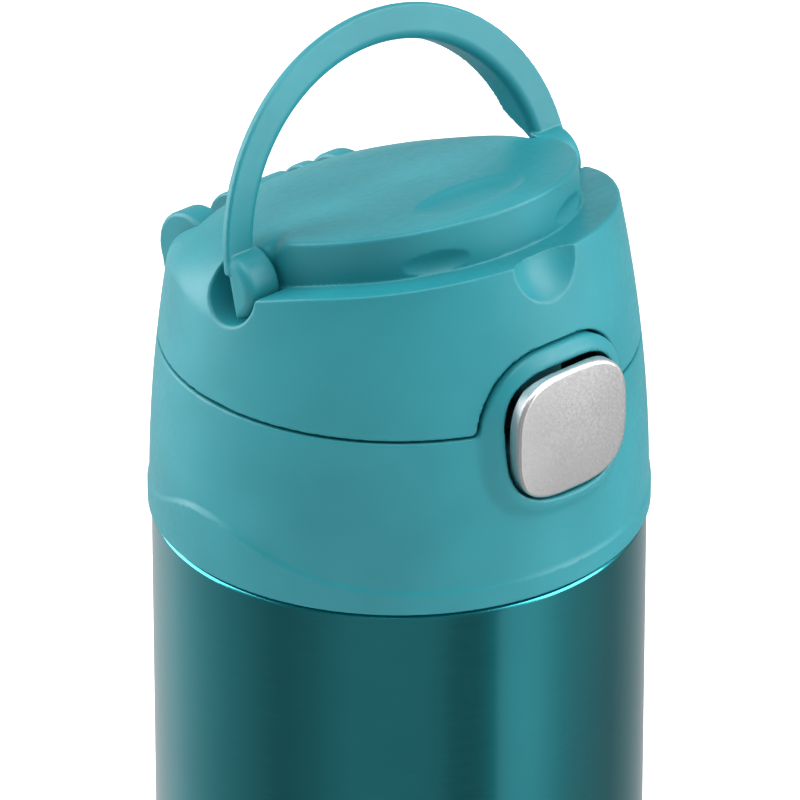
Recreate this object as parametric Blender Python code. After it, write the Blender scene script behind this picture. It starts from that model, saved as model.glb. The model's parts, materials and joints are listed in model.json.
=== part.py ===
"""Insulated steel straw bottle with a flip-open cover, a push button and a swing handle.

Lengths are written in millimetres and turned into metres when a mesh is made.
+Z is up, the push button faces -Y, the rear hinge is on the +Y side.
"""

import math

import bmesh
import bpy
from mathutils import Matrix, Vector

MM = 0.001
GAP = 0.4

# bottle body
BODY_RADIUS = 35.0
OUTER_WALL = 0.6
INNER_WALL = 0.5
BODY_TOP = 136.6
NECK_RADIUS = 29.2
NECK_TOP = 153.9
LINER_RADIUS = 31.0
LINER_NECK_RADIUS = 28.1
LINER_FOOT = 12.0
LIP_TOP = 155.0

# screw thread between the neck and the lid
THREAD_PITCH = 4.0
THREAD_TURNS = 1.5
NECK_THREAD_START = 144.0
LID_THREAD_START = 142.0
LID_THREAD_RADIUS = 31.0

# lid collar
COLLAR_BOTTOM = 137.06
SKIRT_RADIUS = 35.65
SEAM = 163.1
BUTTON_Z = 161.65
BUTTON_HALF_WIDTH = 10.0
BUTTON_HALF_HEIGHT = 9.25
BUTTON_FRONT = 36.4
BUTTON_BACK = 34.9
ARCH_HALF_WIDTH = 13.5
ARCH_TOP = 173.7
BEZEL_RISE = 1.25

# rear hinge
HINGE_Y = 24.0
HINGE_Z = 172.2
BARREL_RADIUS = 6.1
REAR_WALL_LEFT = math.radians(-147.2)
REAR_WALL_RIGHT = math.radians(155.3)
REAR_WALL_TOP = 170.0
LID_KNUCKLES = ((-18.5, -14.0), (9.2, 14.0))
COVER_KNUCKLES = ((-9.3, 1.5), (4.0, 6.5))

# cover top
DISC_HALF_WIDTH = 25.7
DISC_REACH = 24.9
COVER_WALL = 1.9
THUMB_Y = -14.5
RIM_BLEND = 9.7
REAR_BLEND_UP = 5.6
REAR_BLEND_IN = 14.9

# carry handle
HANDLE_Y = 0.35
HANDLE_Z = 180.2
HANDLE_LEAN = math.radians(13.6)
HANDLE_HALF_WIDTH = 31.6
HANDLE_RISE = 30.5
HANDLE_INNER_HALF_WIDTH = 26.4
HANDLE_INNER_RISE = 25.3
HANDLE_FACE = 1.2
HANDLE_DEPTH = 4.3
BOSS_RADIUS = 4.7
BOSS_INNER_END = 25.9
BOSS_OUTER_END = 31.3

SPOUT_Y = -5.0


# ---------------------------------------------------------------- helpers


def clear_scene():
    for obj in list(bpy.data.objects):
        bpy.data.objects.remove(obj, do_unlink=True)
    for mesh in list(bpy.data.meshes):
        bpy.data.meshes.remove(mesh)


def material(name, colour, roughness, metallic=0.0):
    made = bpy.data.materials.new(name)
    made.use_nodes = True
    shader = made.node_tree.nodes["Principled BSDF"]
    shader.inputs["Base Color"].default_value = (*colour, 1.0)
    shader.inputs["Roughness"].default_value = roughness
    shader.inputs["Metallic"].default_value = metallic
    made.diffuse_color = (*colour, 1.0)
    return made


def make(name, points, faces, mat=None, origin=(0.0, 0.0, 0.0), sharp=35.0):
    """A closed mesh object from millimetre points, with its origin where it turns or slides."""
    mesh = bpy.data.meshes.new(name)
    mesh.from_pydata([tuple((c - o) * MM for c, o in zip(p, origin)) for p in points], [], faces)
    work = bmesh.new()
    work.from_mesh(mesh)
    bmesh.ops.remove_doubles(work, verts=work.verts, dist=1e-7)
    bmesh.ops.recalc_face_normals(work, faces=work.faces)
    work.to_mesh(mesh)
    work.free()
    mesh.shade_smooth()
    mesh.set_sharp_from_angle(angle=math.radians(sharp))
    obj = bpy.data.objects.new(name, mesh)
    obj.location = tuple(o * MM for o in origin)
    bpy.context.scene.collection.objects.link(obj)
    if mat is not None:
        mesh.materials.append(mat)
    return obj


def combine(target, tools, operation):
    """Joins or cuts the target with each hidden tool in turn."""
    for tool in tools:
        tool.hide_render = True
        tool.display_type = "WIRE"
        step = target.modifiers.new(operation.title(), "BOOLEAN")
        step.operation = operation
        step.solver = "EXACT"
        step.object = tool


def ring_faces(rows, columns):
    """Quads between rows of points, each row closed on itself."""
    faces = []
    for row in range(rows - 1):
        for column in range(columns):
            after = (column + 1) % columns
            low, high = row * columns, (row + 1) * columns
            faces.append((low + column, low + after, high + after, high + column))
    return faces


def loft(name, rings, mat=None, **options):
    """A solid through closed rings of equal length, with both ends capped."""
    columns = len(rings[0])
    points = [p for ring in rings for p in ring]
    faces = ring_faces(len(rings), columns)
    faces.append(tuple(range(columns)))
    faces.append(tuple(range((len(rings) - 1) * columns, len(rings) * columns)))
    return make(name, points, faces, mat, **options)


def spin(name, profile, mat=None, centre=(0.0, 0.0), steps=60, **options):
    """A closed (radius, height) profile turned about a vertical line. A radius of 0 is a pole."""
    points, index = [], []
    for radius, height in profile:
        count = steps if radius > 0 else 1
        index.append([len(points) + i for i in range(count)])
        for i in range(count):
            turn = 2 * math.pi * i / steps
            points.append(
                (centre[0] + radius * math.cos(turn), centre[1] + radius * math.sin(turn), height)
            )
    faces = []
    for low, high in zip(index, index[1:] + index[:1]):
        for i in range(steps):
            corners = [low[i % len(low)], low[(i + 1) % len(low)]]
            corners += [high[(i + 1) % len(high)], high[i % len(high)]]
            corners = list(dict.fromkeys(corners))
            if len(corners) > 2:
                faces.append(tuple(corners))
    return make(name, points, faces, mat, **options)


def prism(name, outline, low, high, axis, mat=None, **options):
    """A flat outline pushed out along one axis: X takes (y, z), Y takes (x, z), Z takes (x, y)."""

    def place(u, v, depth):
        return {"X": (depth, u, v), "Y": (u, depth, v), "Z": (u, v, depth)}[axis]

    rings = [[place(u, v, depth) for u, v in outline] for depth in (low, high)]
    return loft(name, rings, mat, **options)


def box(name, low, high, mat=None, **options):
    outline = [(low[0], low[1]), (high[0], low[1]), (high[0], high[1]), (low[0], high[1])]
    return prism(name, outline, low[2], high[2], "Z", mat, **options)


def arc(centre, radius, start, end, count):
    """Points along an arc, angles in degrees."""
    turns = [math.radians(start + (end - start) * i / (count - 1)) for i in range(count)]
    return [(centre[0] + radius * math.cos(t), centre[1] + radius * math.sin(t)) for t in turns]


def rounded_square(half_width, half_height, count=36, power=3.0):
    """A superellipse outline about its own centre."""
    outline = []
    for i in range(count):
        turn = 2 * math.pi * i / count
        c, s = math.cos(turn), math.sin(turn)
        reach = (abs(c) ** power + abs(s) ** power) ** (-1 / power)
        outline.append((half_width * reach * c, half_height * reach * s))
    return outline


def tube(path, radius, sides, along):
    """Rings of a round wire that follows a path, kept square to a fixed direction."""
    rings = []
    for i, point in enumerate(path):
        ahead = path[min(i + 1, len(path) - 1)]
        behind = path[max(i - 1, 0)]
        forward = (Vector(ahead) - Vector(behind)).normalized()
        side = forward.cross(Vector(along)).normalized()
        rise = side.cross(forward)
        ring = []
        for k in range(sides):
            turn = 2 * math.pi * k / sides
            offset = side * (radius * math.cos(turn)) + rise * (radius * math.sin(turn))
            ring.append(tuple(Vector(point) + offset))
        rings.append(ring)
    return rings


def helix_ridge(name, start, root, crest, width, crest_width, steps=36):
    """A screw-thread ridge of trapezoid section that climbs one pitch in each turn."""
    rings = []
    count = int(steps * THREAD_TURNS) + 1
    for i in range(count):
        turn = 2 * math.pi * i / steps
        level = start + THREAD_PITCH * i / steps
        fade = min(1.0, i / 5, (count - 1 - i) / 5)
        tip = root + (crest - root) * (0.45 + 0.55 * fade)
        ring = []
        for radius, height in (
            (root, level - width / 2),
            (tip, level - crest_width / 2),
            (tip, level + crest_width / 2),
            (root, level + width / 2),
        ):
            ring.append((radius * math.cos(turn), radius * math.sin(turn), height))
        rings.append(ring)
    return loft(name, rings)


def smooth(t):
    t = min(max(t, 0.0), 1.0)
    return t * t * (3 - 2 * t)


# ---------------------------------------------------------------- shared outer shape


def shell_radius(z):
    """Outline of collar and cover: upright at the skirt, curving in towards the top."""
    return 35.3 - 5.0 * max(0.0, (z - 139.0) / 47.0) ** 1.95


def arch(angle, base, widen=0.0):
    """Height of the split between collar and cover, which rises over the button."""
    across = abs(angle) * shell_radius(SEAM) / (ARCH_HALF_WIDTH + widen)
    if across >= 1.0:
        return base
    return base + (ARCH_TOP - SEAM) * (1 - across**3) ** 0.61


def wave(angle):
    """Upper edge of the raised skirt band, with a crest at each side."""
    degrees = abs(math.degrees(angle))
    spread = 18.6 if degrees < 93 else 14.3
    return 140.3 + 6.05 * math.exp(-0.5 * ((degrees - 93) / spread) ** 2)


def bezel_rise(angle, z):
    """How far the frame round the button stands out from the collar."""
    u = abs(angle * shell_radius(z)) / BUTTON_HALF_WIDTH
    v = abs(z - BUTTON_Z) / BUTTON_HALF_HEIGHT
    reach = (u**3 + v**3) ** (1 / 3)
    return BEZEL_RISE * (1 - smooth((reach - 1.02) / 0.34))


def top_plane(x, y):
    """The tilted, slightly domed top of the cover."""
    return 185.7 - 0.258 * y + 0.7 * (1 - (x * x + y * y) / 676.0)


def ledge(y):
    """The step round the front of the top disc, which takes the folded handle."""
    reach = max(0.0, -y)
    return 180.0 + 0.205 * reach - 0.9 * (1 - smooth(reach / 14.0))


def shoulder(radius, z, angle, inset=0.0):
    """Negative inside the rounded rear shoulder of the cover."""
    y = -radius * math.cos(angle)
    x = radius * math.sin(angle)
    rear = smooth((y - 2) / 16)
    high = RIM_BLEND + (REAR_BLEND_UP - RIM_BLEND) * rear - 0.5 * inset
    wide = RIM_BLEND + (REAR_BLEND_IN - RIM_BLEND) * rear - 0.5 * inset
    up = ((z - top_plane(x, y) + inset) * 0.97) / high
    out = ((radius - shell_radius(z) + inset) * 0.985) / wide
    if up > -1 and out > -1:
        return math.hypot(up + 1, out + 1) - 1
    return max(up, out)


def shoulder_point(angle, lift, inset=0.0):
    """Where a ray from inside the cover, at this lift in degrees, leaves the shoulder."""
    low, high = 0.0, 40.0
    c, s = math.cos(math.radians(lift)), math.sin(math.radians(lift))
    for _ in range(40):
        middle = (low + high) / 2
        if shoulder(8.0 + middle * c, 168.0 + middle * s, angle, inset) < 0:
            low = middle
        else:
            high = middle
    return 8.0 + low * c, 168.0 + low * s


def ellipse_radius(angle, half_width, reach):
    return 1 / math.hypot(math.sin(angle) / half_width, math.cos(angle) / reach)


def columns():
    """Angles from the front, finer round the button and the handle pockets."""
    half = [0, 4, 8, 11.5, 15, 18, 20.5, 22.8, 26, 34, 42, 50, 58, 66, 72.5, 77, 82, 87]
    half += [93, 98, 103, 107.5, 114, 122, 130, 139, 146.5, 148, 154.6, 156, 164, 172]
    turns = half + [180] + [-a for a in reversed(half[1:])]
    return [math.radians(a) for a in turns]


def on_circle(radius, z, angle):
    return radius * math.sin(angle), -radius * math.cos(angle), z


def turned_shell(name, profiles, mat, **options):
    """A solid whose closed (radius, height) section changes from one angle to the next."""
    angles = columns()
    sections = [profiles(a) for a in angles]
    count = len(sections[0])
    points = [on_circle(*sections[j][i], a) for i in range(count) for j, a in enumerate(angles)]
    faces = ring_faces(count, len(angles))
    last = (count - 1) * len(angles)
    for j in range(len(angles)):
        after = (j + 1) % len(angles)
        faces.append((last + j, last + after, after, j))
    return make(name, points, faces, mat, **options)


# ---------------------------------------------------------------- bottle body


def bottle():
    lacquer = material("teal_lacquer", (0.02, 0.16, 0.19), 0.16, 0.85)
    steel = material("brushed_steel", (0.62, 0.62, 0.61), 0.32, 1.0)
    foil = material("copper_foil", (0.72, 0.43, 0.28), 0.3, 1.0)
    getter = material("getter_alloy", (0.32, 0.32, 0.34), 0.55, 0.9)
    seal = material("solder_glass", (0.20, 0.22, 0.20), 0.35)

    inner = BODY_RADIUS - OUTER_WALL
    skin = arc((32.2, 3.2), 2.8, -90, 0, 5)
    skin += arc((33.6, BODY_TOP - 1.4), 1.4, 0, 90, 4)
    skin += [(29.9, BODY_TOP), (NECK_RADIUS, BODY_TOP + 0.7)]
    skin += [(NECK_RADIUS, NECK_TOP), (NECK_RADIUS - OUTER_WALL, NECK_TOP)]
    skin += [(NECK_RADIUS - OUTER_WALL, BODY_TOP - 0.2), (29.5, BODY_TOP - OUTER_WALL)]
    skin += [(33.4, BODY_TOP - OUTER_WALL), (inner, BODY_TOP - 1.6), (inner, 3.4)]
    skin += [(33.6, 1.6), (31.9, 1.0), (31.9, 0.4)]
    outer_shell = spin("outer_shell", skin, lacquer, steps=54)
    combine(
        outer_shell,
        [helix_ridge("neck_thread", NECK_THREAD_START, NECK_RADIUS - 0.35, 30.5, 1.9, 0.9)],
        "UNION",
    )

    bore = LINER_RADIUS - INNER_WALL
    neck_bore = LINER_NECK_RADIUS - INNER_WALL
    liner = [(LINER_RADIUS, LINER_FOOT), (LINER_RADIUS, 130.5), (30.4, 132.0)]
    liner += [(LINER_NECK_RADIUS, 135.0), (LINER_NECK_RADIUS, LIP_TOP - 0.7)]
    liner += [(NECK_RADIUS, LIP_TOP - 0.7), (NECK_RADIUS, LIP_TOP - 0.2)]
    liner += [(NECK_RADIUS - 0.3, LIP_TOP), (neck_bore + 0.3, LIP_TOP)]
    liner += [(neck_bore, LIP_TOP - 0.3), (neck_bore, 134.6), (29.8, 131.4)]
    liner += [(bore, 130.0), (bore, LINER_FOOT)]
    spin("inner_shell", liner, steel, steps=48)

    top = LINER_FOOT - GAP
    cup = [(0, 6.0), (25.5, 6.0)] + arc((26.5, 10.5), 4.5, -75, 0, 4) + [(31.0, top)]
    cup += [(bore, top)] + arc((26.5, 10.5), 4.0, 0, -75, 4) + [(25.5, 6.5), (0, 6.5)]
    spin("inner_bottom", cup, steel, steps=36)

    sleeve = [(31.5, 14.0), (31.9, 14.0), (31.9, 128.0), (31.5, 128.0)]
    spin("heat_foil", sleeve, foil, steps=36)

    base = [(0, 2.0), (20.0, 2.0), (22.5, 1.2), (24.0, 0), (31.1, 0), (31.5, 0.4), (31.5, 4.0)]
    base += [(30.9, 4.0), (30.9, 0.6), (24.4, 0.6), (22.8, 1.8), (20.3, 2.6), (0, 2.6)]
    spin("base_cap", base, steel, steps=36)
    pill = [(0, 2.9), (3.7, 2.9), (4.0, 3.2), (4.0, 4.2), (3.7, 4.5), (0, 4.5)]
    spin("getter_pill", pill, getter, centre=(12.0, 0.0), steps=24)
    bead = [(0, 0.7), (1.2, 0.8), (2.1, 1.2), (2.2, 1.7), (0, 1.7)]
    spin("vacuum_seal", bead, seal, steps=20)


# ---------------------------------------------------------------- lid


def collar_section(angle):
    in_wall = angle < REAR_WALL_LEFT or angle > REAR_WALL_RIGHT
    top = REAR_WALL_TOP if in_wall else arch(angle, SEAM)
    crest = wave(angle)
    profile = [(SKIRT_RADIUS - 0.5, COLLAR_BOTTOM), (SKIRT_RADIUS, COLLAR_BOTTOM + 0.5)]
    profile += [(SKIRT_RADIUS, crest - 0.7), (shell_radius(crest + 0.4), crest + 0.4)]
    for i in range(1, 10):
        z = crest + 0.4 + (top - 0.3 - crest - 0.4) * i / 9
        profile.append((shell_radius(z) + bezel_rise(angle, z), z))
    profile.append((shell_radius(top) + bezel_rise(angle, top) - 0.4, top))
    for z in (top, (top + 158.0) / 2, 158.0):
        profile.append((min(32.75, shell_radius(z) - 1.5), z))
    profile += [(32.75, 139.0), (33.6, COLLAR_BOTTOM)]
    return profile


def barrel(name, span, foot):
    """A hinge knuckle: a round barrel with its foot outline, made along X."""
    return prism(name, foot, span[0], span[1], "X")


def lid():
    teal = material("teal_plastic", (0.07, 0.33, 0.37), 0.42)
    inner_teal = material("inner_teal_plastic", (0.06, 0.28, 0.32), 0.5)
    silicone = material("clear_silicone", (0.72, 0.76, 0.76), 0.45)
    straw_plastic = material("straw_plastic", (0.80, 0.84, 0.84), 0.3)
    steel = material("spring_steel", (0.55, 0.55, 0.56), 0.3, 1.0)

    collar = turned_shell("lid_collar", collar_section, teal)
    bearing = math.degrees(math.acos(17.6 / 33.0))
    shelf = arc((0, 0), 33.0, bearing, 180 - bearing, 12) + [(-17.6, 17.3), (17.6, 17.3)]
    foot = arc((HINGE_Y, HINGE_Z), BARREL_RADIUS, -18, 180, 15)
    foot += [(HINGE_Y - BARREL_RADIUS, SEAM - 1.2), (28.0, SEAM - 1.2)]
    joined = [prism("hinge_shelf", shelf, 159.7, SEAM - 0.05, "Z")]
    joined += [barrel("lid_knuckle", span, foot) for span in LID_KNUCKLES]
    combine(collar, joined, "UNION")
    outline = rounded_square(BUTTON_HALF_WIDTH + 0.43, BUTTON_HALF_HEIGHT + 0.43, 40)
    window = [(x, z + BUTTON_Z) for x, z in outline]
    pin_hole = arc((HINGE_Y, HINGE_Z), 2.0, 0, 345, 24)
    cuts = [prism("button_window", window, -42.0, -26.0, "Y")]
    cuts.append(prism("lid_pin_hole", pin_hole, -18.0, 20.0, "X"))
    combine(collar, cuts, "DIFFERENCE")

    ring = LID_THREAD_RADIUS
    core = [(0, 157.2), (ring, 157.2), (ring, 139.5), (ring + 1.3, 139.5), (ring + 1.3, 158.8)]
    core += [(ring + 0.9, 159.2), (0, 159.2)]
    lid_core = spin("lid_core", core, inner_teal, steps=54)
    thread = helix_ridge("lid_thread", LID_THREAD_START, ring + 0.35, 29.65, 1.9, 0.9)
    seat = box("spring_seat", (-4.5, -18.2, 158.5), (4.5, -16.6, 166.2))
    combine(lid_core, [thread, seat], "UNION")
    holes = [spin("spout_hole", [(0, 150), (6.0, 150), (6.0, 165), (0, 165)], centre=(0, SPOUT_Y), steps=28)]
    holes.append(spin("vent_hole", [(0, 150), (1.9, 150), (1.9, 165), (0, 165)], centre=(0, 9), steps=20))
    combine(lid_core, holes, "DIFFERENCE")

    seal = [(26.6, 155.4), (29.6, 155.4), (29.6, 156.8), (26.6, 156.8)]
    spin("lid_gasket", seal, silicone, steps=40)

    spout = [(4.4, 147.0), (5.3, 147.0), (5.6, 148.0), (5.6, 159.6), (9.0, 159.6), (9.0, 160.8)]
    spout += [(8.4, 161.3), (5.6, 162.0), (4.6, 165.0), (4.4, 172.0), (4.9, 174.5)]
    spout += [(4.7, 176.2), (3.9, 177.0), (2.4, 177.0), (2.0, 176.4), (2.0, 156.8), (4.4, 156.0)]
    spin("mouthpiece", spout, silicone, centre=(0, SPOUT_Y), steps=24)
    pipe = [(2.9, 13.5), (4.0, 13.5), (4.0, 155.4), (2.9, 155.4)]
    straw = spin("straw", pipe, straw_plastic, centre=(0, SPOUT_Y), steps=24)
    slant = [(-8.0, 13.0), (8.0, 13.0), (8.0, 18.0)]
    combine(straw, [prism("straw_cut", [(y + SPOUT_Y, z) for y, z in slant], -8, 8, "X")], "DIFFERENCE")
    valve = [(0, 154.6), (0.9, 155.0), (1.5, 157.0), (1.5, 159.6), (3.2, 159.6), (3.2, 160.2)]
    valve += [(2.4, 160.7), (0, 160.7)]
    spin("vent_valve", valve, silicone, centre=(0, 9), steps=20)

    pin = arc((HINGE_Y, HINGE_Z), 1.6, 0, 342, 20)
    prism("hinge_pin", pin, -17.6, 13.8, "X", steel)
    path = [(-13.2, HINGE_Y + 3.0, HINGE_Z - 6.5)]
    coils, per_turn = 3.5, 12
    for i in range(int(coils * per_turn) + 1):
        turn = 2 * math.pi * i / per_turn
        x = -13.15 + 3.0 * i / (coils * per_turn)
        path.append((x, HINGE_Y + 3.0 * math.cos(turn), HINGE_Z + 3.0 * math.sin(turn)))
    path.append((-10.1, HINGE_Y - 3.2, HINGE_Z + 2.0))
    loft("hinge_spring", tube(path, 0.35, 6, (1, 0, 0)), steel)


# ---------------------------------------------------------------- push button


def button():
    silver = material("satin_silver", (0.66, 0.66, 0.67), 0.3, 0.9)
    carrier_plastic = material("carrier_plastic", (0.10, 0.11, 0.12), 0.5)
    steel = material("button_spring_steel", (0.55, 0.55, 0.56), 0.3, 1.0)
    origin = (0.0, -BUTTON_BACK, BUTTON_Z)

    rings = []
    for scale, depth in ((1.0, BUTTON_BACK), (1.0, 35.3), (0.975, 35.75), (0.9, 36.05)):
        outline = rounded_square(BUTTON_HALF_WIDTH * scale, BUTTON_HALF_HEIGHT * scale)
        rings.append([(x, -depth, BUTTON_Z + z) for x, z in outline])
    for scale in (0.7, 0.4):
        outline = rounded_square(BUTTON_HALF_WIDTH * scale, BUTTON_HALF_HEIGHT * scale)
        bow = [BUTTON_FRONT - 0.35 * scale**2 for _ in outline]
        rings.append([(x, -d, BUTTON_Z + z) for (x, z), d in zip(outline, bow)])
    loft("button_cap", rings, silver, origin=origin)

    plate = [(x * 0.78, z * 0.46 + 165.3) for x, z in rounded_square(10.4, 9.6)]
    carrier = prism("button_carrier", plate, -34.5, -32.9, "Y", carrier_plastic, origin=origin)
    rails = [box("left_rail", (-6.6, -33.5, 161.6), (-5.2, -23.2, 164.4))]
    rails.append(box("right_rail", (5.2, -33.5, 161.6), (6.6, -23.2, 164.4)))
    rails.append(box("catch_bar", (-6.0, -24.8, 162.2), (6.0, -23.2, 165.8)))
    combine(carrier, rails, "UNION")

    turns, per_turn = 4, 10
    path = []
    for i in range(turns * per_turn + 1):
        turn = 2 * math.pi * i / per_turn
        y = -22.5 + 3.6 * i / (turns * per_turn)
        path.append((2.3 * math.cos(turn), y, 163.2 + 2.3 * math.sin(turn)))
    loft("button_spring", tube(path, 0.3, 6, (0, 1, 0)), steel)


# ---------------------------------------------------------------- cover


def cover_section(angle):
    """Outer then inner outline of the cover at one angle, closed into one loop."""
    c, s = math.cos(angle), abs(math.sin(angle))
    foot = arch(angle, SEAM + GAP, GAP)
    rim = ellipse_radius(angle, DISC_HALF_WIDTH - 0.4, DISC_REACH - 0.7)
    wall = ellipse_radius(angle, DISC_HALF_WIDTH, DISC_REACH)
    outer = [(shell_radius(foot), foot)]
    if c > 0:
        edge = 31.0
        for _ in range(20):
            edge = shell_radius(ledge(-edge * c))
        brim = ledge(-edge * c)
        for part in (0.35, 0.7):
            z = foot + (brim - foot) * part
            outer.append((shell_radius(z), z))
        outer += [(shell_radius(brim - 0.35), brim - 0.35), (edge - 0.4, ledge(-edge * c))]
        middle = (edge + wall) / 2
        outer += [(middle, ledge(-middle * c)), (wall + 0.4, ledge(-wall * c))]
        outer.append((wall, ledge(-wall * c) + 0.4))
        round_off = 0.6 + 4.2 * smooth(1 - rim * c / 5)
        crown = top_plane(rim * s, -rim * c) - 0.25 * round_off
        for turn in (0, 45, 90):
            t = math.radians(turn)
            r = rim - round_off * (1 - math.cos(t))
            outer.append((r, crown - round_off * (1 - math.sin(t))))
    else:
        low = math.degrees(math.atan2(foot - 168.0, shell_radius(foot) - 8.0))
        for i in range(1, 11):
            outer.append(shoulder_point(angle, low + (66 - low) * i / 10))
    for part in (0.55, 0.25):
        r = rim * part
        outer.append((r, top_plane(r * s, r * c * -1)))
    outer.append((0.0, top_plane(0, 0)))

    inner = [(0.0, top_plane(0, 0) - 2.3)]
    r = rim * 0.55
    inner.append((r, top_plane(r * s, -r * c) - 2.3))
    if s > 0 and abs(29.0 * c) < 8.5:
        r = 23.2 / s
        inner += [(r, top_plane(23.2, -r * c) - 3.4), (23.4 / s, 173.6)]
        inner.append((shell_radius(172.0) - COVER_WALL, 172.0))
    elif c > 0:
        inner += [(rim - 2.4, crown - 3.0), (wall - 2.4, ledge(-wall * c) - 2.4)]
        low = brim - 7.5
        inner.append((shell_radius(low) - COVER_WALL, low))
    else:
        inner += [shoulder_point(angle, lift, 2.1) for lift in (50, 32, 12)]
    inner.append((shell_radius(foot) - COVER_WALL, foot))
    return outer + inner


def dish(name, half_width, half_height, depth, steps=28):
    """A shallow lens that cuts an elliptical dimple facing +Z about the origin."""
    rings = []
    for part, level in ((0.33, -0.9), (0.66, -0.56), (1.0, 0.0), (1.12, 0.3), (1.2, 3.0)):
        ring = []
        for i in range(steps):
            t = 2 * math.pi * i / steps
            z = depth * level if level < 0 else level
            ring.append((half_width * part * math.cos(t), half_height * part * math.sin(t), z))
        rings.append(ring)
    return loft(name, rings)


def cover():
    teal = material("cover_teal_plastic", (0.07, 0.33, 0.37), 0.42)
    liner_teal = material("liner_teal_plastic", (0.06, 0.28, 0.32), 0.5)
    origin = (0.0, HINGE_Y, HINGE_Z)

    shell = turned_shell("cover_shell", cover_section, teal, origin=origin)
    notch = arc((HINGE_Y, HINGE_Z), BARREL_RADIUS + 0.5, 90, 180, 9)
    notch += [(HINGE_Y - BARREL_RADIUS - 0.5, 155.0), (45.0, 155.0), (45.0, 195.0), (HINGE_Y, 195.0)]
    left, right = LID_KNUCKLES[0][0] - GAP, LID_KNUCKLES[1][1] + GAP
    combine(shell, [prism("hinge_notch", notch, left, right, "X")], "DIFFERENCE")
    lift = [(15.0, 160.0), (40.0, 160.0), (40.0, 168.6), (27.0, 165.2), (24.0, 163.7), (15.0, 163.45)]
    combine(shell, [prism("rear_lift", lift, -34.0, 34.0, "X")], "DIFFERENCE")
    arm = arc((HINGE_Y, HINGE_Z), BARREL_RADIUS, -170, 88, 19)
    arm += [(20.5, 178.3), (16.0, 180.2), (11.5, 181.4), (11.5, 177.6)]
    combine(shell, [barrel("cover_knuckle", span, arm) for span in COVER_KNUCKLES], "UNION")
    pin_hole = arc((HINGE_Y, HINGE_Z), 2.0, 0, 345, 24)
    cuts = [prism("cover_pin_hole", pin_hole, -12.0, 8.0, "X")]
    pocket = arc((HANDLE_Y, HANDLE_Z), BOSS_RADIUS + 0.4, 0, 350, 36)
    stub_hole = arc((HANDLE_Y, HANDLE_Z), 2.4, 0, 345, 20)
    for side in (-1, 1):
        cuts.append(prism("handle_pocket", pocket, side * 25.5, side * 40.0, "X"))
        cuts.append(prism("stub_hole", stub_hole, side * 20.0, side * 27.0, "X"))
    scoop = bmesh.new()
    bmesh.ops.create_uvsphere(scoop, u_segments=28, v_segments=16, radius=9.4)
    ball = [tuple(Vector(v.co) + Vector((0, -37.2, 187.3))) for v in scoop.verts]
    cuts.append(make("finger_scoop", ball, [[v.index for v in f.verts] for f in scoop.faces]))
    scoop.free()
    thumb = dish("thumb_dish", 9.4, 4.7, 0.7)
    tilt = math.atan(0.258 - 0.03)
    centre = Matrix.Translation((0, THUMB_Y * MM, top_plane(0, THUMB_Y) * MM))
    thumb.matrix_world = centre @ Matrix.Rotation(-tilt, 4, "X")
    cuts.append(thumb)
    for side in (-1, 1):
        detent = dish("detent_dish", 4.4, 1.5, 0.7)
        angle = side * math.radians(30)
        r = ellipse_radius(angle, DISC_HALF_WIDTH - 0.1, DISC_REACH - 0.15)
        x, y, z = on_circle(r * MM, (ledge(-r * math.cos(angle)) + 2.2) * MM, angle)
        upright = Matrix.Rotation(angle, 4, "Z") @ Matrix.Rotation(math.pi / 2, 4, "X")
        detent.matrix_world = Matrix.Translation((x, y, z)) @ upright
        cuts.append(detent)
    combine(shell, cuts, "DIFFERENCE")

    flange = arc((0, 0), 30.0, 24, -204, 37)
    liner = prism("cover_liner", flange, 169.6, 171.1, "Z", liner_teal, origin=origin)
    block = [(0, 170.3), (12.0, 170.3), (12.0, 180.0), (0, 180.0)]
    hat = spin("hat", block, centre=(0, SPOUT_Y), steps=36)
    stem = box("hook_stem", (-4.0, -29.2, 161.4), (4.0, -27.8, 170.5))
    barb = box("hook_barb", (-4.0, -28.5, 161.4), (4.0, -25.2, 162.6))
    combine(liner, [stem, barb, hat], "UNION")
    hollow = [(0, 160.0), (10.4, 160.0), (10.4, 178.4), (0, 178.4)]
    combine(liner, [spin("hat_room", hollow, centre=(0, SPOUT_Y), steps=36)], "DIFFERENCE")


# ---------------------------------------------------------------- carry handle


def handle_point(x, rise, forward):
    """From the handle's own frame, which leans back, to the bottle's frame."""
    c, s = math.cos(HANDLE_LEAN), math.sin(HANDLE_LEAN)
    y = HANDLE_Y + rise * s - forward * c
    return x, y, HANDLE_Z + rise * c + forward * s


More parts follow.
